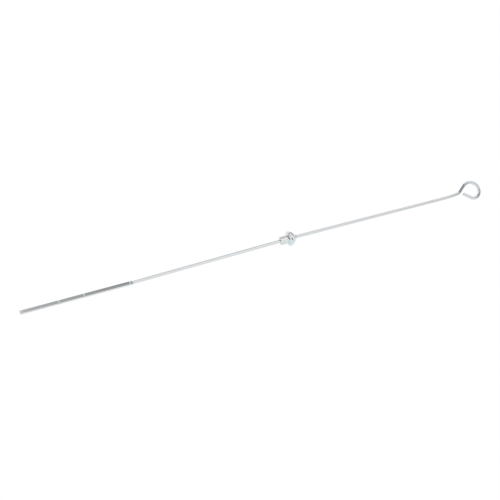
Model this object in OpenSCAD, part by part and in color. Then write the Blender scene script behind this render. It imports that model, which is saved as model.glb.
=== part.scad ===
/* [Wire] */
// Diameter of the wire
wire_d = 3; // [2.6:0.1:3.6]
// Length from the collar's seat down to the tip
reach = 250; // [190:1:330]
// Length from the collar's seat up to the start of the neck
stem = 154; // [110:1:210]

/* [Blade] */
// Length of the pressed flat
blade_l = 100; // [80:1:130]
// Width of the pressed flat
blade_w = 4.4; // [3.8:0.1:5.6]
// Thickness of the pressed flat
blade_t = 1.6; // [1.2:0.1:2.2]
// Length over which the flat runs out into the round wire
runout_l = 4; // [2:0.5:8]
// Distance of the low mark from the tip
low_mark = 35; // [15:0.5:45]
// Distance from the low mark up to the full mark
mark_gap = 23; // [10:0.5:28]
// Length of each mark along the blade
mark_l = 2.2; // [1:0.1:4]
// Depth of each mark
mark_depth = 0.3; // [0.1:0.05:0.5]

/* [Collar] */
// Diameter of the spigot that enters the tube
spigot_d = 7.8; // [6:0.1:10]
// Length of the spigot
spigot_l = 7.4; // [4:0.1:14]
// Diameter of the flange
flange_d = 13.4; // [12:0.1:18]
// Thickness of the flange
flange_t = 2.4; // [1.6:0.1:5]
// Bevel round the flange's seat
seat_edge = 0.8; // [0.2:0.1:1.2]
// Height of the dome on the flange
dome_h = 5; // [4:0.1:5.6]
// Radius of the hollow neck between the dome and the lip
neck_hollow = 1.2; // [0.5:0.1:2]
// Wall of the staked lip round the wire
lip_wall = 0.35; // [0.3:0.05:1]
// Height of the staked lip above the neck
lip_h = 0.3; // [0.2:0.05:2]
// Broken edges of the collar
edge = 0.2; // [0.1:0.05:0.25]
// Gap all round between the wire and the collar's bore
bore_gap = 0.04; // [0.02:0.01:0.1]

/* [Eye] */
// Bend radius of the neck
neck_r = 8.6; // [6:0.1:14]
// Angle at which the leg leaves the rod
leg_angle = 41.5; // [36:0.5:46]
// Straight length of the leg
leg_l = 5.8; // [5:0.1:9]
// Bend radius of the eye's shoulder, after the leg
shoulder_r = 7.7; // [6.5:0.1:9]
// Turn of the shoulder
shoulder_turn = 51; // [40:1:60]
// Bend radius of the eye's crown, farthest from the collar
crown_r = 9; // [8:0.1:10]
// Turn of the crown
crown_turn = 88; // [80:1:100]
// Bend radius of the eye's heel, before the tail
heel_r = 5.9; // [5:0.1:7.5]
// Angle at which the tail comes back to the rod
tail_angle = 38; // [34:0.5:42]
// Straight length of the tail
tail_l = 8; // [5:0.1:8.5]
// Lean of the eye, about the rod, from the plane of the blade
eye_lean = 43; // [0:1:60]

/* [Set of the wire] */
// Slight bend at the root of the blade
root_bend = 1; // [0.1:0.05:1.5]
// Slight bend where the wire leaves the collar
collar_bend = 1.7; // [0.1:0.05:2.4]
// Gentle bend that leads into the neck
lead_bend = 5.3; // [1:0.1:7]

/* [Hidden] */

wire_r = wire_d / 2;
full_mark = low_mark + mark_gap;

// The dome is a cap that springs from the flange's broken edge, and an arc that touches it
// and the lip makes the hollow neck
bore_r = wire_r + bore_gap;
lip_r = bore_r + lip_wall;
dome_base = flange_d / 2 - edge;
dome_r = (dome_base ^ 2 + dome_h ^ 2) / (2 * dome_h);
dome_mid = flange_t + dome_h - dome_r;
hollow_r = lip_r + neck_hollow;
hollow_mid = [hollow_r, dome_mid + sqrt((dome_r + neck_hollow) ^ 2 - hollow_r ^ 2)];
collar_top = hollow_mid[1] + lip_h;

// Radii of the slight bends, and the short straight before the neck
root_r = 80;
collar_r = 60;
lead_r = 125;
neck_l = 1.2;

function arc(r, angle) = r * angle * PI / 180;

// The wire from its tip, as it is bent: straight feed, bend radius, bend angle,
// and the way that it bends, 0 to the left and 90 upwards
BENDS = [
  [blade_l + runout_l, root_r, root_bend, 90],
  [reach - blade_l - runout_l - arc(root_r, root_bend) + collar_top, collar_r, collar_bend, -90],
  [stem - collar_top - arc(collar_r, collar_bend), lead_r, lead_bend, eye_lean],
  [neck_l, neck_r, leg_angle - lead_bend, eye_lean],
  [leg_l, shoulder_r, shoulder_turn, eye_lean + 180],
  [0, crown_r, crown_turn, eye_lean + 180],
  [0, heel_r, leg_angle + 180 + tail_angle - shoulder_turn - crown_turn, eye_lean + 180],
  [tail_l, 1, 0, 0]
];

// Sides of the wire's section, the most that a bend turns between two rings, and the ends' bevel
sides = 32;
ring_turn = 6;
end_bevel = 0.25;

// A vector turned about a unit axis
function turned(v, axis, angle) =
  v * cos(angle) + cross(axis, v) * sin(angle) + axis * (axis * v) * (1 - cos(angle));

// A frame is [place, forward, left, up]. One is carried along a straight, the other round a bend
function fed(f, l) = [f[0] + l * f[1], f[1], f[2], f[3]];
function bent(f, r, angle, way) =
  let (
    inward = f[2] * cos(way) + f[3] * sin(way),
    axis = cross(f[1], inward)
  )
  [
    f[0] + r * (inward - turned(inward, axis, angle)),
    turned(f[1], axis, angle),
    turned(f[2], axis, angle),
    turned(f[3], axis, angle)
  ];

// The frame at a length along the wire, walking from bend i
function frame_at(s, f, i = 0) =
  let (
    feed = BENDS[i][0],
    r = BENDS[i][1],
    bend_l = arc(r, BENDS[i][2])
  )
  i == len(BENDS) - 1 || s <= feed ? fed(f, s)
  : s <= feed + bend_l ? bent(fed(f, feed), r, (s - feed) / r * 180 / PI, BENDS[i][3])
  : frame_at(s - feed - bend_l, bent(fed(f, feed), r, BENDS[i][2], BENDS[i][3]), i + 1);

// The length along the wire at which bend i starts, and the whole length
function bend_start(i) =
  BENDS[i][0] + (i == 0 ? 0 : bend_start(i - 1) + arc(BENDS[i - 1][1], BENDS[i - 1][2]));
wire_l = bend_start(len(BENDS) - 1);

// Lengths along the wire at which it has a ring
function mark_rings(at) = [for (k = [-2, -1, 1, 2]) at + k * mark_l / 4];
function bend_rings(i) =
  let (n = ceil(BENDS[i][2] / ring_turn), first = BENDS[i][0] > 0 ? 0 : 1)
  [for (k = [first:n]) bend_start(i) + arc(BENDS[i][1], BENDS[i][2]) * k / n];
RINGS = [
  0,
  end_bevel,
  each mark_rings(low_mark),
  each mark_rings(full_mark),
  for (k = [0:3]) blade_l + runout_l * k / 4,
  for (i = [0:len(BENDS) - 2]) each bend_rings(i),
  wire_l - end_bevel,
  wire_l
];

// How the section changes along the wire: 0 on the blade and 1 on the round wire,
// the depth of a mark, and the bevel of the ends
function roundness(s) = let (t = max(0, min(1, (s - blade_l) / runout_l))) t * t * (3 - 2 * t);
MARKS = [
  for (at = [low_mark, full_mark])
    for (k = [-2, -1, 1, 2]) [at + k * mark_l / 4, abs(k) == 1 ? mark_depth : 0]
];
ends = 1 - end_bevel / wire_r;
BEVELS = [[0, ends], [end_bevel, 1], [wire_l - end_bevel, 1], [wire_l, ends]];

// One ring: a circle that is wider across the blade and cut off flat above and below
function ring(s, f) =
  let (
    half_w = blade_w / 2 + (wire_r - blade_w / 2) * roundness(s),
    half_t = blade_t / 2 + (wire_r - blade_t / 2) * roundness(s),
    top = half_t - lookup(s, MARKS),
    size = lookup(s, BEVELS)
  )
  [
    for (k = [0:sides - 1])
      let (
        a = k * 360 / sides,
        across = half_w * cos(a),
        height = max(-half_t, min(top, wire_r * sin(a)))
      )
      f[0] + size * (across * f[2] + height * f[3])
  ];

// The tip is at the start of the walk; every place is then taken from the collar's seat
tip_frame = [[0, 0, 0], [1, 0, 0], [0, 1, 0], [0, 0, 1]];
seat = frame_at(reach, tip_frame);
function from_seat(p) = let (q = p - seat[0]) [q * seat[1], q * seat[2], q * seat[3]];

wire_points = [for (s = RINGS) for (p = ring(s, frame_at(s, tip_frame))) from_seat(p)];

// The rod leans until it lies on the blade's tip and on what touches the ground next, which
// is the flange's rim, or a point of the wire beyond the collar where that hangs lower
tip_low = from_seat([0, 0, -blade_t / 2]);
rim_low = [seat_edge, 0, -flange_d / 2];
touching = concat([rim_low], [for (p = wire_points) if (p[0] > collar_top) p]);
lie = max([for (p = touching) atan((tip_low[2] - p[2]) / (p[0] - tip_low[0]))]);
module at_rest() {
  rotate([0, -lie, 0])
    children();
}

// The drawn wire with its pressed blade, two level marks and formed eye
module gauge_wire() {
  last = (len(RINGS) - 1) * sides;
  walls = [
    for (j = [0:len(RINGS) - 2])
      for (k = [0:sides - 1])
        let (a = j * sides, b = a + sides, next = (k + 1) % sides)
        [a + k, b + k, b + next, a + next]
  ];
  color("silver")
    at_rest()
      polyhedron(
        points = wire_points,
        faces = concat(
          [[for (k = [0:sides - 1]) k]],
          walls,
          [[for (k = [sides - 1:-1:0]) last + k]]
        )
      );
}

// A turned step of the collar, seen in half section, with both edges broken
module step(r, low, high, low_edge = edge) {
  polygon([
    [0, low], [r - low_edge, low], [r, low + low_edge],
    [r, high - edge], [r - edge, high], [0, high]
  ]);
}

// The dome and its hollow neck, seen in half section
module dome() {
  difference() {
    intersection() {
      union() {
        translate([0, dome_mid])
          circle(r = dome_r, $fn = 96);
        polygon([[0, dome_mid], hollow_mid, [0, hollow_mid[1]]]);
      }
      translate([0, flange_t / 2])
        square([dome_base, collar_top]);
    }
    translate(hollow_mid)
      circle(r = neck_hollow, $fn = 48);
  }
}

// The turned collar: a spigot, a flange that seats on the tube, a dome and a staked lip
module stop_collar() {
  color("lightsteelblue")
    at_rest()
      rotate([0, 90, 0])
        rotate_extrude($fn = 96)
          difference() {
            union() {
              step(spigot_d / 2, -spigot_l, flange_t / 2);
              step(flange_d / 2, 0, flange_t, seat_edge);
              dome();
              step(lip_r, flange_t, collar_top);
            }
            translate([0, -spigot_l - 1])
              square([bore_r, spigot_l + collar_top + 2]);
          }
}

gauge_wire();
stop_collar();
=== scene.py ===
"""Looks of a wire engine oil dipstick: a drawn steel wire with a pressed blade, two level marks
and a formed eye, and the turned collar that stops it at the mouth of its tube, all zinc plated."""

import bpy
import numpy as np
from mathutils import Matrix, Vector


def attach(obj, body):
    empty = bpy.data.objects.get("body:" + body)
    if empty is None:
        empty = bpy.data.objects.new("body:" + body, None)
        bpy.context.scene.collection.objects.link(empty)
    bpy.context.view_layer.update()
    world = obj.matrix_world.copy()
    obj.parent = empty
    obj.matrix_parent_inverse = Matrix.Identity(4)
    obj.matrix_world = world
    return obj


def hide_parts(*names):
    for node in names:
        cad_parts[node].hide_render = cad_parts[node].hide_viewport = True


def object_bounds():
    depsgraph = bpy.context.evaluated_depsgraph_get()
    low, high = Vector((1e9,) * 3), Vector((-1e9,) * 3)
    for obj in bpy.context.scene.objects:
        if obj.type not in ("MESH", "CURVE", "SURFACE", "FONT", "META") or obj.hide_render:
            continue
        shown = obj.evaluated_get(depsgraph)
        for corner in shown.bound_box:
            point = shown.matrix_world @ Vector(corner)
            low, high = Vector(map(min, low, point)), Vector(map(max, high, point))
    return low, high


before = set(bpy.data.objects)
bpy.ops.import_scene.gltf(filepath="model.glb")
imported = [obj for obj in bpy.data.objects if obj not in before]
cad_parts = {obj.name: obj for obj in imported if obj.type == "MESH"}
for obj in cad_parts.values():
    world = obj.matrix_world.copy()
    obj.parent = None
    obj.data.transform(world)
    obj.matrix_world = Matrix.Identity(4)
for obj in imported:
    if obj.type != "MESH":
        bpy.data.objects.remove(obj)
cad_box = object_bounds()

MM = 0.001

# Sizes of the wire and its blade, in millimetres
WIRE_D = 3.0
REACH = 250.0
STEM = 154.0
BLADE_L = 100.0
BLADE_W = 4.4
BLADE_T = 1.6
RUNOUT_L = 4.0
LOW_MARK = 35.0
MARK_GAP = 23.0
FULL_MARK = LOW_MARK + MARK_GAP
MARK_L = 2.2
MARK_DEPTH = 0.3

# Sizes of the collar
SPIGOT_D = 7.8
SPIGOT_L = 7.4
FLANGE_D = 13.4
FLANGE_T = 2.4
SEAT_EDGE = 0.8
DOME_H = 5.0
NECK_HOLLOW = 1.2
BORE_GAP = 0.04
BORE_R = WIRE_D / 2 + BORE_GAP
LIP_WALL = 0.35
LIP_R = BORE_R + LIP_WALL
LIP_H = 0.3
EDGE = 0.2

# The dome is a cap that springs from the flange's broken edge, and an arc that touches it and
# the lip makes the hollow neck
DOME_BASE = FLANGE_D / 2 - EDGE
DOME_R = (DOME_BASE**2 + DOME_H**2) / (2 * DOME_H)
DOME_MID = FLANGE_T + DOME_H - DOME_R
HOLLOW_R = LIP_R + NECK_HOLLOW
HOLLOW_MID = DOME_MID + np.sqrt((DOME_R + NECK_HOLLOW) ** 2 - HOLLOW_R**2)
COLLAR_TOP = HOLLOW_MID + LIP_H

# Sizes of the eye, and the slight bends that the wire has taken
NECK_R = 8.6
NECK_L = 1.2
LEG_ANGLE = 41.5
LEG_L = 5.8
SHOULDER_R = 7.7
SHOULDER_TURN = 51.0
CROWN_R = 9.0
CROWN_TURN = 88.0
HEEL_R = 5.9
TAIL_ANGLE = 38.0
TAIL_L = 8.0
EYE_LEAN = 43.0
ROOT_R = 80.0
ROOT_BEND = 1.0
COLLAR_R = 60.0
COLLAR_BEND = 1.7
LEAD_R = 125.0
LEAD_BEND = 5.3

# The shown surfaces keep this far inside the nominal ones, so that none leaves the CAD's box
INSET = 0.02
COLLAR_INSET = 0.01
# Round on the ends of the wire, and on the corners of the blade and the collar
END_ROUND = 0.25
BLADE_CORNER = 0.07
COLLAR_CORNER = 0.1
# Points around the wire and around the collar
WIRE_SIDES = 96
COLLAR_SIDES = 192
# Most that two points of the collar's outline are apart, and least
OUTLINE_STEP = 0.5
SAME_POINT = 0.0001

# The camera, found from the ellipses of the collar and the run of the wire
VIEW_AZIMUTH = -20.4
VIEW_ELEVATION = 46.0
VIEW_ROLL = 0.51
VIEW_DISTANCE = 1650.0
VIEW_LENS = 132.03
VIEW_CENTRE = (-28.0, 0.0, 0.0)
VIEW_RIGHT = -7.75
VIEW_UP = -3.12


def arc(radius, angle):
    """Length of a bend: its radius times its angle in radians."""
    return radius * np.radians(angle)


def wire_bends():
    """The wire from its tip, as it is bent: straight feed, bend radius, bend angle, and the way
    that it bends, 0 to the left and 90 upwards."""
    eye = EYE_LEAN + 180
    heel = LEG_ANGLE + 180 + TAIL_ANGLE - SHOULDER_TURN - CROWN_TURN
    shank = REACH - BLADE_L - RUNOUT_L - arc(ROOT_R, ROOT_BEND) + COLLAR_TOP
    return [
        (BLADE_L + RUNOUT_L, ROOT_R, ROOT_BEND, 90),
        (shank, COLLAR_R, COLLAR_BEND, -90),
        (STEM - COLLAR_TOP - arc(COLLAR_R, COLLAR_BEND), LEAD_R, LEAD_BEND, EYE_LEAN),
        (NECK_L, NECK_R, LEG_ANGLE - LEAD_BEND, EYE_LEAN),
        (LEG_L, SHOULDER_R, SHOULDER_TURN, eye),
        (0, CROWN_R, CROWN_TURN, eye),
        (0, HEEL_R, heel, eye),
        (TAIL_L, 1, 0, 0),
    ]


def wire_length():
    """The straights and the bends of the wire, added up."""
    return sum(feed + arc(radius, angle) for feed, radius, angle, _ in wire_bends())


def turned(v, axis, angle):
    """Vector v turned about a unit axis by each angle in radians:
    v cos a + (axis x v) sin a + axis (axis . v) (1 - cos a)."""
    a = np.asarray(angle, float)[..., None]
    return v * np.cos(a) + np.cross(axis, v) * np.sin(a) + axis * (axis @ v) * (1 - np.cos(a))


def walk(stations):
    """Frames at lengths along the wire, as arrays of place, forward, left and up. Each straight
    carries the place forward, and each bend turns the frame about its own axis at its radius."""
    s = np.asarray(stations, float)
    frames = np.zeros((4, len(s), 3))
    here = np.array([[0, 0, 0], [1, 0, 0], [0, 1, 0], [0, 0, 1]], float)
    start = 0.0
    for feed, radius, angle, way in wire_bends():
        straight = s >= start
        frames[:, straight] = here[:, None]
        frames[0, straight] += (s[straight] - start)[:, None] * here[1]
        here[0] += feed * here[1]
        inward = here[2] * np.cos(np.radians(way)) + here[3] * np.sin(np.radians(way))
        axis = np.cross(here[1], inward)
        start += feed
        bend = s >= start
        turn = np.minimum((s[bend] - start) / radius, np.radians(angle))
        frames[0, bend] = here[0] + radius * (inward - turned(inward, axis, turn))
        frames[1:, bend] = [turned(v, axis, turn) for v in here[1:]]
        whole = np.radians(angle)
        here[0] += radius * (inward - turned(inward, axis, whole))
        here[1:] = [turned(v, axis, whole) for v in here[1:]]
        start += arc(radius, angle)
    return frames


def lie_angle(to_seat, place):
    """Lean of the collar's axis from the level, with the blade's tip and the flange's rim both
    on the ground: the drop from the rim to the tip, over the length between them."""
    tip = to_seat @ (np.array([0, 0, -BLADE_T / 2]) - place)
    return np.arctan((FLANGE_D / 2 + tip[2]) / (SEAT_EDGE - tip[0]))


def leaned(angle):
    """Matrix that lifts the eye's end: a turn about the Y axis."""
    c, s = np.cos(angle), np.sin(angle)
    return np.array([[c, 0, -s], [0, 1, 0], [s, 0, c]])


def resting():
    """The move from the wire's own walk to the seat's frame and to its rest on the ground, as
    the seat's place in the walk, the matrix that turns the wire, and the lean of the collar."""
    place, forward, left, up = walk([REACH])[:, 0]
    to_seat = np.array([forward, left, up])
    lie = lie_angle(to_seat, place)
    return place, leaned(lie) @ to_seat, leaned(lie)


def smooth(t):
    """The S curve 3 t^2 - 2 t^3, held between 0 and 1."""
    t = np.clip(t, 0, 1)
    return t * t * (3 - 2 * t)


def softly_capped(height, cap, corner):
    """Height held under a cap, with a round corner: -c log(exp(-height/c) + exp(-cap/c))."""
    return -corner * np.logaddexp(-height / corner, -cap / corner)


def wire_section(s, a):
    """Offsets to the left and up from the wire's line, over lengths s and angles a, and
    how the wire is worked: cut and marked, each from 0 to 1. A round wire is r cos a, r sin a.
    The blade is wider, and capped above and below with round corners. A mark lowers the upper
    cap, and each end draws in by a quarter circle."""
    r = WIRE_D / 2 - INSET
    roundness = smooth((s - BLADE_L) / RUNOUT_L)
    half_w = r + (BLADE_W - WIRE_D) / 2 * (1 - roundness)
    cap = r - (WIRE_D - BLADE_T) / 2 * (1 - roundness)
    ramp = [(MARK_L / 2 - np.abs(s - at)) / (MARK_L / 4) for at in (LOW_MARK, FULL_MARK)]
    mark = smooth(ramp[0]) + smooth(ramp[1])
    corner = BLADE_CORNER * (1.001 - roundness)
    rise = r * np.sin(a)
    top = softly_capped(rise, cap - MARK_DEPTH * mark, corner)
    bottom = -softly_capped(-rise, cap, corner)
    height = np.where(roundness > 0.999, rise, np.where(rise > 0, top, bottom))
    across = half_w * np.cos(a)
    left_over = (np.minimum(s, wire_length() - s) - INSET).clip(0, END_ROUND)
    drawn_in = END_ROUND - np.sqrt(END_ROUND**2 - (END_ROUND - left_over) ** 2)
    shrink = 1 - drawn_in / np.hypot(across, height)
    cut = 1 - left_over / END_ROUND
    worked = np.stack(np.broadcast_arrays(cut, mark, 0, across)[:3], -1)
    return across * shrink, height * shrink, worked


def wire_stations():
    """Lengths along the wire that have a ring: close together at its ends, the marks, the
    blade's run-out and the bends, and farther apart where the wire is straight."""
    whole = wire_length()
    quarter = INSET + END_ROUND * (1 - np.cos(np.linspace(0, np.pi / 2, 8)))
    found = [np.linspace(0, whole, 160), quarter, whole - quarter]
    found += [at + np.linspace(-0.6, 0.6, 37) * MARK_L for at in (LOW_MARK, FULL_MARK)]
    found.append(BLADE_L + np.linspace(-0.2, 1.2, 36) * RUNOUT_L)
    start = 0.0
    for feed, radius, angle, _ in wire_bends():
        start += feed
        found.append(start + arc(radius, np.linspace(0, angle, 2 + int(angle / 2))))
        start += arc(radius, angle)
    return np.unique(np.concatenate(found).round(4).clip(INSET, whole - INSET))


def grid_faces(rows, columns, rows_close=False):
    """Four-sided faces of a grid of points whose columns close, and whose rows may close. They
    face outwards where the rows run along an axis and the columns turn round it by the right
    hand."""
    r = np.arange(rows if rows_close else rows - 1)[:, None] * columns
    c = np.arange(columns)[None, :]
    beyond, after = (r + columns) % (rows * columns), (c + 1) % columns
    return np.stack([r + c, r + after, beyond + after, beyond + c], -1).reshape(-1, 4).tolist()


def piece(name, points, faces, attributes):
    """A mesh object at the origin, from points in millimetres. Its faces are smooth, and it
    carries vector attributes that its material reads."""
    mesh = bpy.data.meshes.new(name)
    mesh.from_pydata((points * MM).tolist(), [], faces)
    mesh.polygons.foreach_set("use_smooth", np.ones(len(mesh.polygons), bool))
    for key, vectors in attributes.items():
        layer = mesh.attributes.new(key, "FLOAT_VECTOR", "POINT")
        layer.data.foreach_set("vector", vectors.astype(np.float32).ravel())
    mesh.update()
    obj = bpy.data.objects.new(name, mesh)
    bpy.context.scene.collection.objects.link(obj)
    return obj


def make_wire():
    """The wire: its section carried along its bends as a grid of rings, and a fan of faces
    that closes each end."""
    s = wire_stations()
    a = np.linspace(0, 2 * np.pi, WIRE_SIDES, endpoint=False)
    line, _, left, up = walk(s)[:, :, None]
    across, height, worked = wire_section(s[:, None], a[None, :])
    points = line + across[..., None] * left + height[..., None] * up
    along = s[:, None] * np.ones_like(across)
    drawn = np.stack([along, across, height], -1).reshape(-1, 3)
    rings, turn = len(s), np.arange(WIRE_SIDES)
    after, top = (turn + 1) % WIRE_SIDES, (rings - 1) * WIRE_SIDES
    tip, tail = rings * WIRE_SIDES, rings * WIRE_SIDES + 1
    faces = grid_faces(rings, WIRE_SIDES)
    faces += np.stack([0 * turn + tip, after, turn], -1).tolist()
    faces += np.stack([0 * turn + tail, top + turn, top + after], -1).tolist()
    points = np.concatenate([points.reshape(-1, 3), line[[0, -1], 0]])
    drawn = np.concatenate([drawn, [[0, 0, 0], [s[-1], 0, 0]]])
    worked = np.concatenate([worked.reshape(-1, 3), [[1, 0, 0], [1, 0, 0]]])
    seat, matrix, _ = resting()
    points = (points - seat) @ matrix.T
    return piece("dipstick_wire", points, faces, {"drawn": drawn, "worked": worked})


def rounded(corners, radius, steps=6):
    """A closed outline through corners, each replaced by a curve that is about an arc of a
    radius, or of less where its sides are short. It starts and ends at radius / tan(half the
    corner's angle) along the two sides, and is start (1-t)^2 + 2 corner t (1-t) + end t^2."""
    p = np.array(corners, float)
    before, after = np.roll(p, 1, 0) - p, np.roll(p, -1, 0) - p
    side = np.linalg.norm(before, axis=1), np.linalg.norm(after, axis=1)
    before, after = before / side[0][:, None], after / side[1][:, None]
    half = np.arccos(np.clip((before * after).sum(1), -1, 1)) / 2
    reach = np.minimum(radius / np.tan(half), 0.45 * np.minimum(*side))
    t = np.linspace(0, 1, steps)[None, :, None]
    start, end = p + before * reach[:, None], p + after * reach[:, None]
    start, end, p = start[:, None], end[:, None], p[:, None]
    return (start * (1 - t) ** 2 + 2 * p * t * (1 - t) + end * t**2).reshape(-1, 2)


def collar_outline():
    """Half section of the collar as lengths along its axis and radii: the bore, the spigot, the
    flange and the lip have straight sides. The dome is an arc about its middle on the axis, and
    the neck is an arc the other way, about its middle off the axis."""
    spigot, flange = SPIGOT_D / 2, FLANGE_D / 2 - COLLAR_INSET
    springs = np.arctan2(DOME_BASE, FLANGE_T - DOME_MID)
    touches = np.arctan2(HOLLOW_R, HOLLOW_MID - DOME_MID)
    a = np.linspace(springs, touches, 36)
    dome = np.stack([DOME_MID + DOME_R * np.cos(a), DOME_R * np.sin(a)], -1)
    a = np.linspace(touches, np.pi / 2, 14)[1:]
    neck = [HOLLOW_MID - NECK_HOLLOW * np.cos(a), HOLLOW_R - NECK_HOLLOW * np.sin(a)]
    corners = [
        (-SPIGOT_L, BORE_R),
        (-SPIGOT_L, spigot - EDGE),
        (-SPIGOT_L + EDGE, spigot),
        (0, spigot),
        (0, flange - SEAT_EDGE),
        (SEAT_EDGE, flange),
        (FLANGE_T - EDGE, flange),
        *dome.tolist(),
        *np.stack(neck, -1).tolist(),
        (COLLAR_TOP - EDGE, LIP_R),
        (COLLAR_TOP, LIP_R - EDGE),
        (COLLAR_TOP, BORE_R),
    ]
    return rounded(corners, COLLAR_CORNER)


def spaced(outline, step):
    """A closed outline with points added on its long sides, none more than a step apart."""
    ends = np.roll(outline, -1, 0)
    parts = []
    for start, end in zip(outline, ends):
        n = max(1, int(np.ceil(np.linalg.norm(end - start) / step)))
        parts.append(start + (end - start) * (np.arange(n) / n)[:, None])
    return np.concatenate(parts)


def make_collar():
    """The collar: its half section turned round the wire's axis, which leans as it lies."""
    outline = spaced(collar_outline(), OUTLINE_STEP)
    gaps = np.linalg.norm(outline - np.roll(outline, 1, 0), axis=1)
    outline = outline[gaps > SAME_POINT]
    x, r = outline.T[:, :, None]
    a = np.linspace(0, 2 * np.pi, COLLAR_SIDES, endpoint=False)[None, :]
    points = np.stack([x + 0 * a, r * np.cos(a), r * np.sin(a)], -1).reshape(-1, 3)
    turning = np.stack([x + 0 * a, r + 0 * a, 0 * r + np.sin(a)], -1).reshape(-1, 3)
    faces = grid_faces(len(outline), COLLAR_SIDES, rows_close=True)
    _, _, lean = resting()
    return piece("stop_collar_turned", points @ lean.T, faces, {"turning": turning})


class Value:
    """An output of a node, on which plain arithmetic adds Math nodes."""

    def __init__(self, graph, socket):
        self.graph = graph
        self.socket = socket

    def maths(self, operation, *others):
        return self.graph.add("ShaderNodeMath", {"operation": operation}, (self, *others))

    def __add__(self, other):
        return self.maths("ADD", other)

    def __sub__(self, other):
        return self.maths("SUBTRACT", other)

    def __rsub__(self, other):
        return self.maths("MULTIPLY_ADD", -1, other)

    def __mul__(self, other):
        return self.maths("MULTIPLY", other)

    __radd__ = __add__
    __rmul__ = __mul__


class Graph:
    """The nodes of one material, or of the world."""

    def __init__(self, owner):
        owner.use_nodes = True
        self.tree = owner.node_tree
        self.tree.nodes.clear()

    def add(self, kind, settings=None, inputs=(), output=0):
        """A node of a kind. Its settings come first, then its inputs, by place or by name, each
        a value or a link, and one of its outputs is given back."""
        node = self.tree.nodes.new(kind)
        for key, value in (settings or {}).items():
            setattr(node, key, value)
        for key, value in inputs.items() if isinstance(inputs, dict) else enumerate(inputs):
            if isinstance(value, Value):
                self.tree.links.new(value.socket, node.inputs[key])
            else:
                node.inputs[key].default_value = value
        return Value(self, node.outputs[output] if node.outputs else None)

    def scaled(self, vector, scale):
        """A vector multiplied by three numbers."""
        settings = {"operation": "MULTIPLY"}
        return self.add("ShaderNodeVectorMath", settings, (vector, scale))

    def noise(self, vector, scale, detail=2.0, roughness=0.5):
        """Noise between 0 and 1 over a vector, at so many lumps a millimetre along each axis."""
        place = self.scaled(vector, scale)
        inputs = {"Vector": place, "Scale": 1.0, "Detail": detail, "Roughness": roughness}
        return self.add("ShaderNodeTexNoise", {}, inputs)

    def between(self, value, low, high):
        """How far a value is between two numbers, as a smooth step from 0 to 1."""
        settings = {"interpolation_type": "SMOOTHSTEP"}
        return self.add("ShaderNodeMapRange", settings, (value, low, high))

    def mixed(self, factor, first, second):
        """Two colours, mixed by a factor."""
        inputs = {0: factor, 6: first, 7: second}
        return self.add("ShaderNodeMix", {"data_type": "RGBA"}, inputs, output=2)


def rgb(red, green, blue):
    """A colour with full alpha."""
    return (red, green, blue, 1.0)


ZINC = rgb(0.81, 0.82, 0.83)
ZINC_BLUE = rgb(0.77, 0.81, 0.85)
ZINC_GREEN = rgb(0.77, 0.82, 0.79)
ZINC_LILAC = rgb(0.81, 0.79, 0.84)
# Colours of a painted reflection on the collar's lower front: green on the spigot, cyan on the
# flange, lilac on the dome
REFLECTED_GREEN = rgb(0.77, 0.86, 0.81)
REFLECTED_CYAN = rgb(0.74, 0.87, 0.90)
REFLECTED_LILAC = rgb(0.84, 0.86, 0.95)
CUT_STEEL = rgb(0.50, 0.50, 0.50)

# Roughness of the plate, what its haze, its tool lines and its grain add to it, and what the
# wire's cut ends and marks add
PLATE_ROUGH = 0.08
HAZE_ROUGH = 0.05
LINES_ROUGH = 0.04
GRAIN_ROUGH = 0.03
CUT_ROUGH = 0.2
MARK_ROUGH = 0.18
# Share of bare steel on the cut ends
CUT_BARE = 0.7
# Height of the tool lines in millimetres, how strongly they show, and the grain's share
LINES_HEIGHT = 0.01
LINES_SHOW = 0.2
GRAIN_SHARE = 0.4


def object_place(graph):
    """Place on the object in millimetres."""
    place = graph.add("ShaderNodeTexCoord", {}, {}, output="Object")
    return graph.scaled(place, (1000.0,) * 3)


def attribute(graph, name):
    """A vector attribute of the mesh."""
    settings = {"attribute_name": name, "attribute_type": "GEOMETRY"}
    return graph.add("ShaderNodeAttribute", settings, {}, output="Vector")


def parts(graph, vector):
    """The three numbers of a vector."""
    first = graph.add("ShaderNodeSeparateXYZ", {}, {"Vector": vector})
    node = first.socket.node
    return [Value(graph, out) for out in node.outputs]


def plated(graph, place, lines, extra_rough, colour, share):
    """Bright zinc over worked steel: tints that drift between blue, green and lilac, fine tool
    lines that show through, and a grain that dulls it in patches. A share of another colour
    lies over the tints: bare steel on the wire's cut ends, and a painted reflection on the
    collar's lower front."""
    drift = graph.noise(place, (0.05, 0.05, 0.05))
    haze = graph.noise(place, (0.16, 0.16, 0.16), 3.0)
    grain = graph.noise(place, (9.0, 9.0, 9.0), 3.0)
    tint = graph.mixed(graph.between(drift, 0.42, 0.62), ZINC, ZINC_BLUE)
    tint = graph.mixed(graph.between(haze, 0.50, 0.68), tint, ZINC_GREEN)
    tint = graph.mixed(graph.between(drift, 0.48, 0.30), tint, ZINC_LILAC)
    tint = graph.mixed(share, tint, colour)
    rough = PLATE_ROUGH + HAZE_ROUGH * haze + LINES_ROUGH * lines + GRAIN_ROUGH * grain
    rough = rough + extra_rough
    height = lines + GRAIN_SHARE * grain
    inputs = {"Strength": LINES_SHOW, "Distance": LINES_HEIGHT * MM, "Height": height}
    bump = graph.add("ShaderNodeBump", {}, inputs)
    inputs = {"Base Color": tint, "Metallic": 1.0, "Roughness": rough, "Normal": bump}
    shader = graph.add("ShaderNodeBsdfPrincipled", {}, inputs)
    graph.add("ShaderNodeOutputMaterial", {}, {"Surface": shader})


def wire_material():
    """Drawn wire: lines run along it, the punch has left its marks coarse, and its cut ends are
    dull."""
    material = bpy.data.materials.new("zinc_wire")
    graph = Graph(material)
    drawn = attribute(graph, "drawn")
    cut, mark, _ = parts(graph, attribute(graph, "worked"))
    lines = graph.noise(drawn, (0.15, 6.0, 6.0), 4.0, 0.6)
    extra_rough = CUT_ROUGH * cut + MARK_ROUGH * mark
    plated(graph, object_place(graph), lines, extra_rough, CUT_STEEL, CUT_BARE * cut)
    return material


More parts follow.
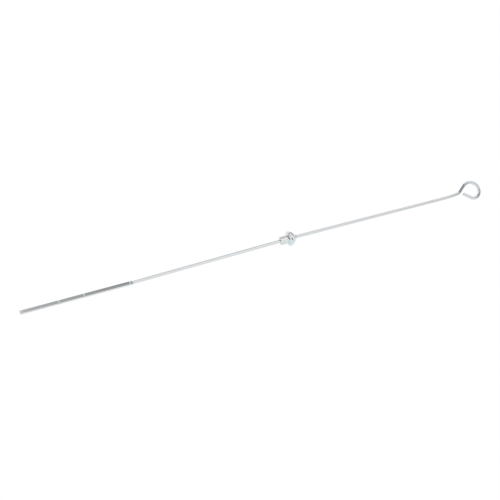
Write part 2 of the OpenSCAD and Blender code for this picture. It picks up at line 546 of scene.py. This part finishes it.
def collar_material():
    """Turned steel: the tool's lines run round it, and on its lower front a painted reflection
    goes from pale green on the spigot over cyan on the flange to lilac on the dome."""
    material = bpy.data.materials.new("zinc_collar")
    graph = Graph(material)
    turning = attribute(graph, "turning")
    lines = graph.noise(turning, (7.0, 7.0, 0.4), 3.0, 0.6)
    place = object_place(graph)
    x, y, z = parts(graph, place)
    # Painted reflection: the lower front of the collar takes green, cyan and lilac along its axis
    colour = graph.mixed(graph.between(x, -2.0, 1.5), REFLECTED_GREEN, REFLECTED_CYAN)
    colour = graph.mixed(graph.between(x, 3.0, 6.5), colour, REFLECTED_LILAC)
    plated(graph, place, lines, 0.0, colour, graph.between(y + z, 1.0, -4.0))
    return material


def finish(obj, node, material):
    """A piece that stands for a node and its material."""
    obj.data.materials.append(material)
    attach(obj, "root")
    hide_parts(node)


def direction(azimuth, elevation):
    """Unit vector towards an azimuth, 0 towards -Y and 90 towards +X, and an elevation."""
    a, e = np.radians(azimuth), np.radians(elevation)
    return np.array([np.sin(a) * np.cos(e), -np.cos(a) * np.cos(e), np.sin(e)])


# The studio's white level, and the panels that the metal reflects: azimuth from and to,
# elevation from and to, all in degrees, and the share of the light that each leaves
STUDIO_WHITE = 0.92
STUDIO_PANELS = [
    (25, 52, -10, 47, 0.0),
    (52, 68, 8, 40, 0.3),
    (-170, 8, 62, 100, 0.1),
    (72, 97, 66, 100, 0.3),
    (-92, -65, -10, 15, 0.1),
    (-165, -125, 35, 62, 0.1),
    (-125, -95, 0, 28, 0.5),
    (97, 152, -10, 25, 0.4),
    (153, 173, 38, 62, 0.3),
    (-35, 10, 45, 62, 0.35),
    (75, 105, 2, 35, 1.15),
    (10, 70, 55, 85, 1.15),
]
# Half the width in degrees over which a panel's edge fades
PANEL_SOFT = 8

# The floor: half its side and its drop below the dipstick, both in millimetres, its white, its
# glow, and how much the glow takes the place of the white for the camera and in the metal
FLOOR_HALF = 3000.0
FLOOR_DROP = 0.02
FLOOR_WHITE = 0.95
FLOOR_GLOW = 1.04
GLOW_SEEN = 0.93
GLOW_MIRRORED = 0.6


def make_world():
    """A white studio with dark and bright panels. A panel is the product of two ramps up and
    down, over azimuth and elevation, and the light is white times 1 + (share - 1) x panel for
    each of them. The camera sees plain white."""
    world = bpy.data.worlds.new("studio")
    bpy.context.scene.world = world
    graph = Graph(world)
    x, y, z = parts(graph, graph.add("ShaderNodeTexCoord", {}, {}, output="Generated"))
    azimuth = x.maths("ARCTAN2", -1.0 * y) * np.degrees(1)
    elevation = z.maths("ARCSINE") * np.degrees(1)

    def within(angle, low, high):
        rise = graph.between(angle, low - PANEL_SOFT, low + PANEL_SOFT)
        return rise - graph.between(angle, high - PANEL_SOFT, high + PANEL_SOFT)

    light = STUDIO_WHITE
    for left, right, low, high, share in STUDIO_PANELS:
        panel = within(azimuth, left, right) * within(elevation, low, high)
        light = (panel * (share - 1) + 1.0) * light
    seen = graph.add("ShaderNodeLightPath", {}, {}, output="Is Camera Ray")
    strength = light * (1.0 - seen) + seen
    shader = graph.add("ShaderNodeBackground", {}, (rgb(1, 1, 1), strength))
    graph.add("ShaderNodeOutputWorld", {}, (shader,))


def make_floor():
    """A white floor just under the dipstick, which keeps a faint shadow."""
    half = FLOOR_HALF * MM
    z = cad_box[0].z - FLOOR_DROP * MM
    mesh = bpy.data.meshes.new("studio_floor")
    corners = [(-half, -half, z), (half, -half, z), (half, half, z), (-half, half, z)]
    mesh.from_pydata(corners, [], [(0, 1, 2, 3)])
    floor = bpy.data.objects.new("studio_floor", mesh)
    bpy.context.scene.collection.objects.link(floor)
    material = bpy.data.materials.new("studio_floor")
    graph = Graph(material)
    paper = graph.add("ShaderNodeBsdfDiffuse", {}, {"Color": rgb(*[FLOOR_WHITE] * 3)})
    glow = graph.add("ShaderNodeEmission", {}, {"Color": rgb(1, 1, 1), "Strength": FLOOR_GLOW})
    seen = graph.add("ShaderNodeLightPath", {}, {}, output="Is Camera Ray")
    mirrored = graph.add("ShaderNodeLightPath", {}, {}, output="Is Glossy Ray")
    share = GLOW_SEEN * seen + GLOW_MIRRORED * mirrored
    mix = graph.add("ShaderNodeMixShader", {}, (share, paper, glow))
    graph.add("ShaderNodeOutputMaterial", {}, {"Surface": mix})
    mesh.materials.append(material)


def make_camera():
    """The camera at its distance along the line of view from a point near the collar."""
    back = Vector(direction(VIEW_AZIMUTH, VIEW_ELEVATION))
    right = Vector(direction(VIEW_AZIMUTH + 90, 0))
    up = back.cross(right)
    roll = np.radians(VIEW_ROLL)
    right, up = (
        right * np.cos(roll) + up * np.sin(roll),
        up * np.cos(roll) - right * np.sin(roll),
    )
    place = Vector(VIEW_CENTRE) + VIEW_RIGHT * right + VIEW_UP * up + VIEW_DISTANCE * back
    data = bpy.data.cameras.new("camera")
    data.sensor_width = 36.0
    data.lens = VIEW_LENS
    data.clip_start, data.clip_end = 0.05, 20.0
    camera = bpy.data.objects.new("camera", data)
    bpy.context.scene.collection.objects.link(camera)
    axes = Matrix((right, up, back)).transposed().to_4x4()
    camera.matrix_world = Matrix.Translation(place * MM) @ axes
    bpy.context.scene.camera = camera


def main():
    """Both pieces with their materials, and the studio round them."""
    finish(make_wire(), "gauge_wire", wire_material())
    finish(make_collar(), "stop_collar", collar_material())
    make_floor()
    make_world()
    make_camera()
    bpy.context.scene.view_settings.view_transform = "Standard"


main()
